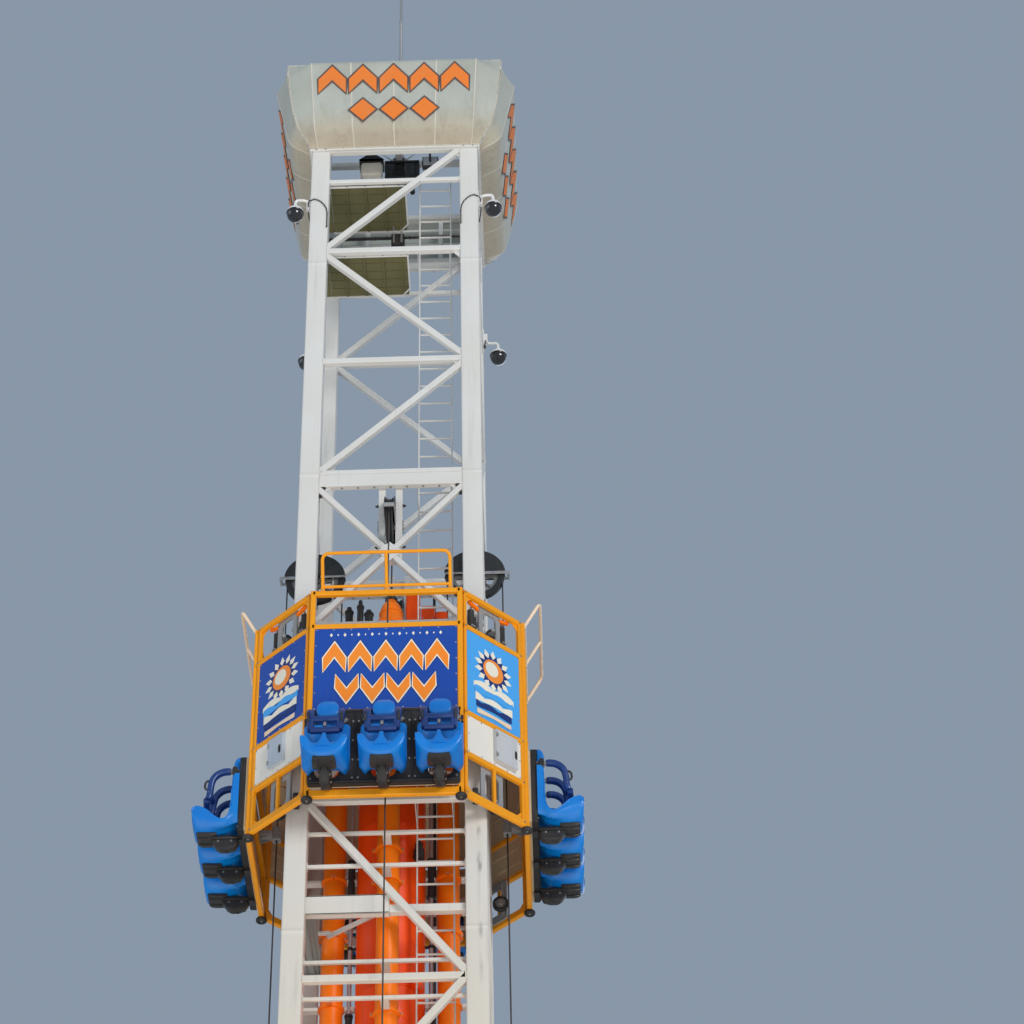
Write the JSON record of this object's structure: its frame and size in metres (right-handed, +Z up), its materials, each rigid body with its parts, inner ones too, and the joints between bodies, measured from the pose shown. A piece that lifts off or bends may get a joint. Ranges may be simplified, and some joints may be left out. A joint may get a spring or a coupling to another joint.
{
  "type": "drop tower ride",
  "caption": "Fairground drop tower: square lattice mast with a ring gondola of outward seats lifted by air cylinders and cables over sheaves.",
  "frame": {"origin": "centre of the base frame's underside, at ground level", "axes": "+Z up the tower, -Y the pictured front, the side that the ladder is nearer to, +X to the right seen from the front"},
  "size_m": [4.22, 4.22, 35],
  "materials": {
    "tower_paint": "satin white gloss paint with grey streaks",
    "tank_orange_red": "gloss red-orange paint",
    "cylinder_orange": "gloss orange paint",
    "wire_rope": "dark greased steel wire rope",
    "sheave_dark": "charcoal painted cast iron",
    "guard_dark": "charcoal painted sheet",
    "platform_steel": "weathered grey paint",
    "deck_olive": "weathered olive-brown plate",
    "cover_vinyl": "stretched off-white coated fabric",
    "mast_metal": "grey anodised tube",
    "camera_black": "gloss black dome with a white cap",
    "machine_black": "black paint",
    "frame_yellow": "golden-yellow gloss paint",
    "panel_blue": "royal-blue panel",
    "panel_white": "warm white panel",
    "box_grey": "blue-grey cabinet",
    "board_black": "black board",
    "seat_blue": "azure gel-coat fibreglass",
    "wheel_black": "black polyurethane",
    "bracket_grey": "grey painted steel",
    "restraint_navy": "navy moulded pad"
  },
  "bodies": {
    "tower": {"base_frame": "tower_paint", "base_plates": "tower_paint", "tower_columns": "tower_paint", "front_truss": "tower_paint", "right_truss": "tower_paint", "rear_truss": "tower_paint", "left_truss": "tower_paint", "ladder": "tower_paint", "air_tank_shell": "tank_orange_red", "air_tank_heads": "tank_orange_red", "shot_cylinders": "cylinder_orange", "cylinder_heads": "cylinder_orange", "cylinder_brackets": "tower_paint", "drive_cables": "wire_rope", "sheave_posts": "tower_paint", "sheave_guards": "guard_dark", "lower_sheaves": "sheave_dark", "mid_platform": "platform_steel", "upper_decks": "deck_olive", "crown_frame": "tower_paint", "crown_covers": "cover_vinyl", "mast": "mast_metal", "camera_brackets": "tower_paint", "camera_domes": "camera_black", "top_hoist": "machine_black", "floodlight": "machine_black"},
    "gondola": {"ring_side_frames": "frame_yellow", "ring_corner_frames": "frame_yellow", "long_blue_panels": "panel_blue", "corner_blue_panels": "panel_blue", "corner_white_panels": "panel_white", "access_boxes": "box_grey", "seat_boards": "board_black", "front_seats": "seat_blue", "right_seats": "seat_blue", "rear_seats": "seat_blue", "left_seats": "seat_blue", "seat_pedestals": "board_black", "handrail_hoops": "frame_yellow", "guide_wheels": "wheel_black", "guide_brackets": "bracket_grey", "ring_bumpers": "wheel_black", "cable_clamps": "bracket_grey"},
    "front_sheave": {"front_sheave": "sheave_dark"},
    "right_sheave": {"right_sheave": "sheave_dark"},
    "rear_sheave": {"rear_sheave": "sheave_dark"},
    "left_sheave": {"left_sheave": "sheave_dark"},
    "restraint_front_1": {"restraint_front_1": "restraint_navy"},
    "restraint_front_2": {"restraint_front_2": "restraint_navy"},
    "restraint_front_3": {"restraint_front_3": "restraint_navy"},
    "restraint_right_1": {"restraint_right_1": "restraint_navy"},
    "restraint_right_2": {"restraint_right_2": "restraint_navy"},
    "restraint_right_3": {"restraint_right_3": "restraint_navy"},
    "restraint_rear_1": {"restraint_rear_1": "restraint_navy"},
    "restraint_rear_2": {"restraint_rear_2": "restraint_navy"},
    "restraint_rear_3": {"restraint_rear_3": "restraint_navy"},
    "restraint_left_1": {"restraint_left_1": "restraint_navy"},
    "restraint_left_2": {"restraint_left_2": "restraint_navy"},
    "restraint_left_3": {"restraint_left_3": "restraint_navy"}
  },
  "joints": [
    {"name": "gondola_lift", "type": "slide", "parent": "tower", "child": "gondola", "axis": [0, 0, 1], "range_m": [-18.28, 2.9]},
    {"name": "front_sheave_turn", "type": "hinge", "parent": "tower", "child": "front_sheave", "pos_m": [0, -0.945, 23.1], "axis": [-1, 0, 0], "range_deg": [-3300, 600]},
    {"name": "right_sheave_turn", "type": "hinge", "parent": "tower", "child": "right_sheave", "pos_m": [0.945, 0, 23.1], "axis": [0, -1, 0], "range_deg": [-3300, 600]},
    {"name": "rear_sheave_turn", "type": "hinge", "parent": "tower", "child": "rear_sheave", "pos_m": [0, 0.945, 23.1], "axis": [1, 0, 0], "range_deg": [-3300, 600]},
    {"name": "left_sheave_turn", "type": "hinge", "parent": "tower", "child": "left_sheave", "pos_m": [-0.945, 0, 23.1], "axis": [0, 1, 0], "range_deg": [-3300, 600]},
    {"name": "restraint_front_1_lift", "type": "hinge", "parent": "gondola", "child": "restraint_front_1", "pos_m": [-0.6, -1.665, 19.825], "axis": [-1, 0, 0], "range_deg": [0, 80]},
    {"name": "restraint_front_2_lift", "type": "hinge", "parent": "gondola", "child": "restraint_front_2", "pos_m": [0, -1.665, 19.825], "axis": [-1, 0, 0], "range_deg": [0, 80]},
    {"name": "restraint_front_3_lift", "type": "hinge", "parent": "gondola", "child": "restraint_front_3", "pos_m": [0.6, -1.665, 19.825], "axis": [-1, 0, 0], "range_deg": [0, 80]},
    {"name": "restraint_right_1_lift", "type": "hinge", "parent": "gondola", "child": "restraint_right_1", "pos_m": [1.665, -0.6, 19.825], "axis": [0, -1, 0], "range_deg": [0, 80]},
    {"name": "restraint_right_2_lift", "type": "hinge", "parent": "gondola", "child": "restraint_right_2", "pos_m": [1.665, 0, 19.825], "axis": [0, -1, 0], "range_deg": [0, 80]},
    {"name": "restraint_right_3_lift", "type": "hinge", "parent": "gondola", "child": "restraint_right_3", "pos_m": [1.665, 0.6, 19.825], "axis": [0, -1, 0], "range_deg": [0, 80]},
    {"name": "restraint_rear_1_lift", "type": "hinge", "parent": "gondola", "child": "restraint_rear_1", "pos_m": [0.6, 1.665, 19.825], "axis": [1, 0, 0], "range_deg": [0, 80]},
    {"name": "restraint_rear_2_lift", "type": "hinge", "parent": "gondola", "child": "restraint_rear_2", "pos_m": [0, 1.665, 19.825], "axis": [1, 0, 0], "range_deg": [0, 80]},
    {"name": "restraint_rear_3_lift", "type": "hinge", "parent": "gondola", "child": "restraint_rear_3", "pos_m": [-0.6, 1.665, 19.825], "axis": [1, 0, 0], "range_deg": [0, 80]},
    {"name": "restraint_left_1_lift", "type": "hinge", "parent": "gondola", "child": "restraint_left_1", "pos_m": [-1.665, 0.6, 19.825], "axis": [0, 1, 0], "range_deg": [0, 80]},
    {"name": "restraint_left_2_lift", "type": "hinge", "parent": "gondola", "child": "restraint_left_2", "pos_m": [-1.665, 0, 19.825], "axis": [0, 1, 0], "range_deg": [0, 80]},
    {"name": "restraint_left_3_lift", "type": "hinge", "parent": "gondola", "child": "restraint_left_3", "pos_m": [-1.665, -0.6, 19.825], "axis": [0, 1, 0], "range_deg": [0, 80]}
  ],
  "couplings": [
    {"joint": "front_sheave_turn", "follows": "gondola_lift", "rad_per_m": 3.0769},
    {"joint": "right_sheave_turn", "follows": "gondola_lift", "rad_per_m": 3.0769},
    {"joint": "rear_sheave_turn", "follows": "gondola_lift", "rad_per_m": 3.0769},
    {"joint": "left_sheave_turn", "follows": "gondola_lift", "rad_per_m": 3.0769}
  ]
}
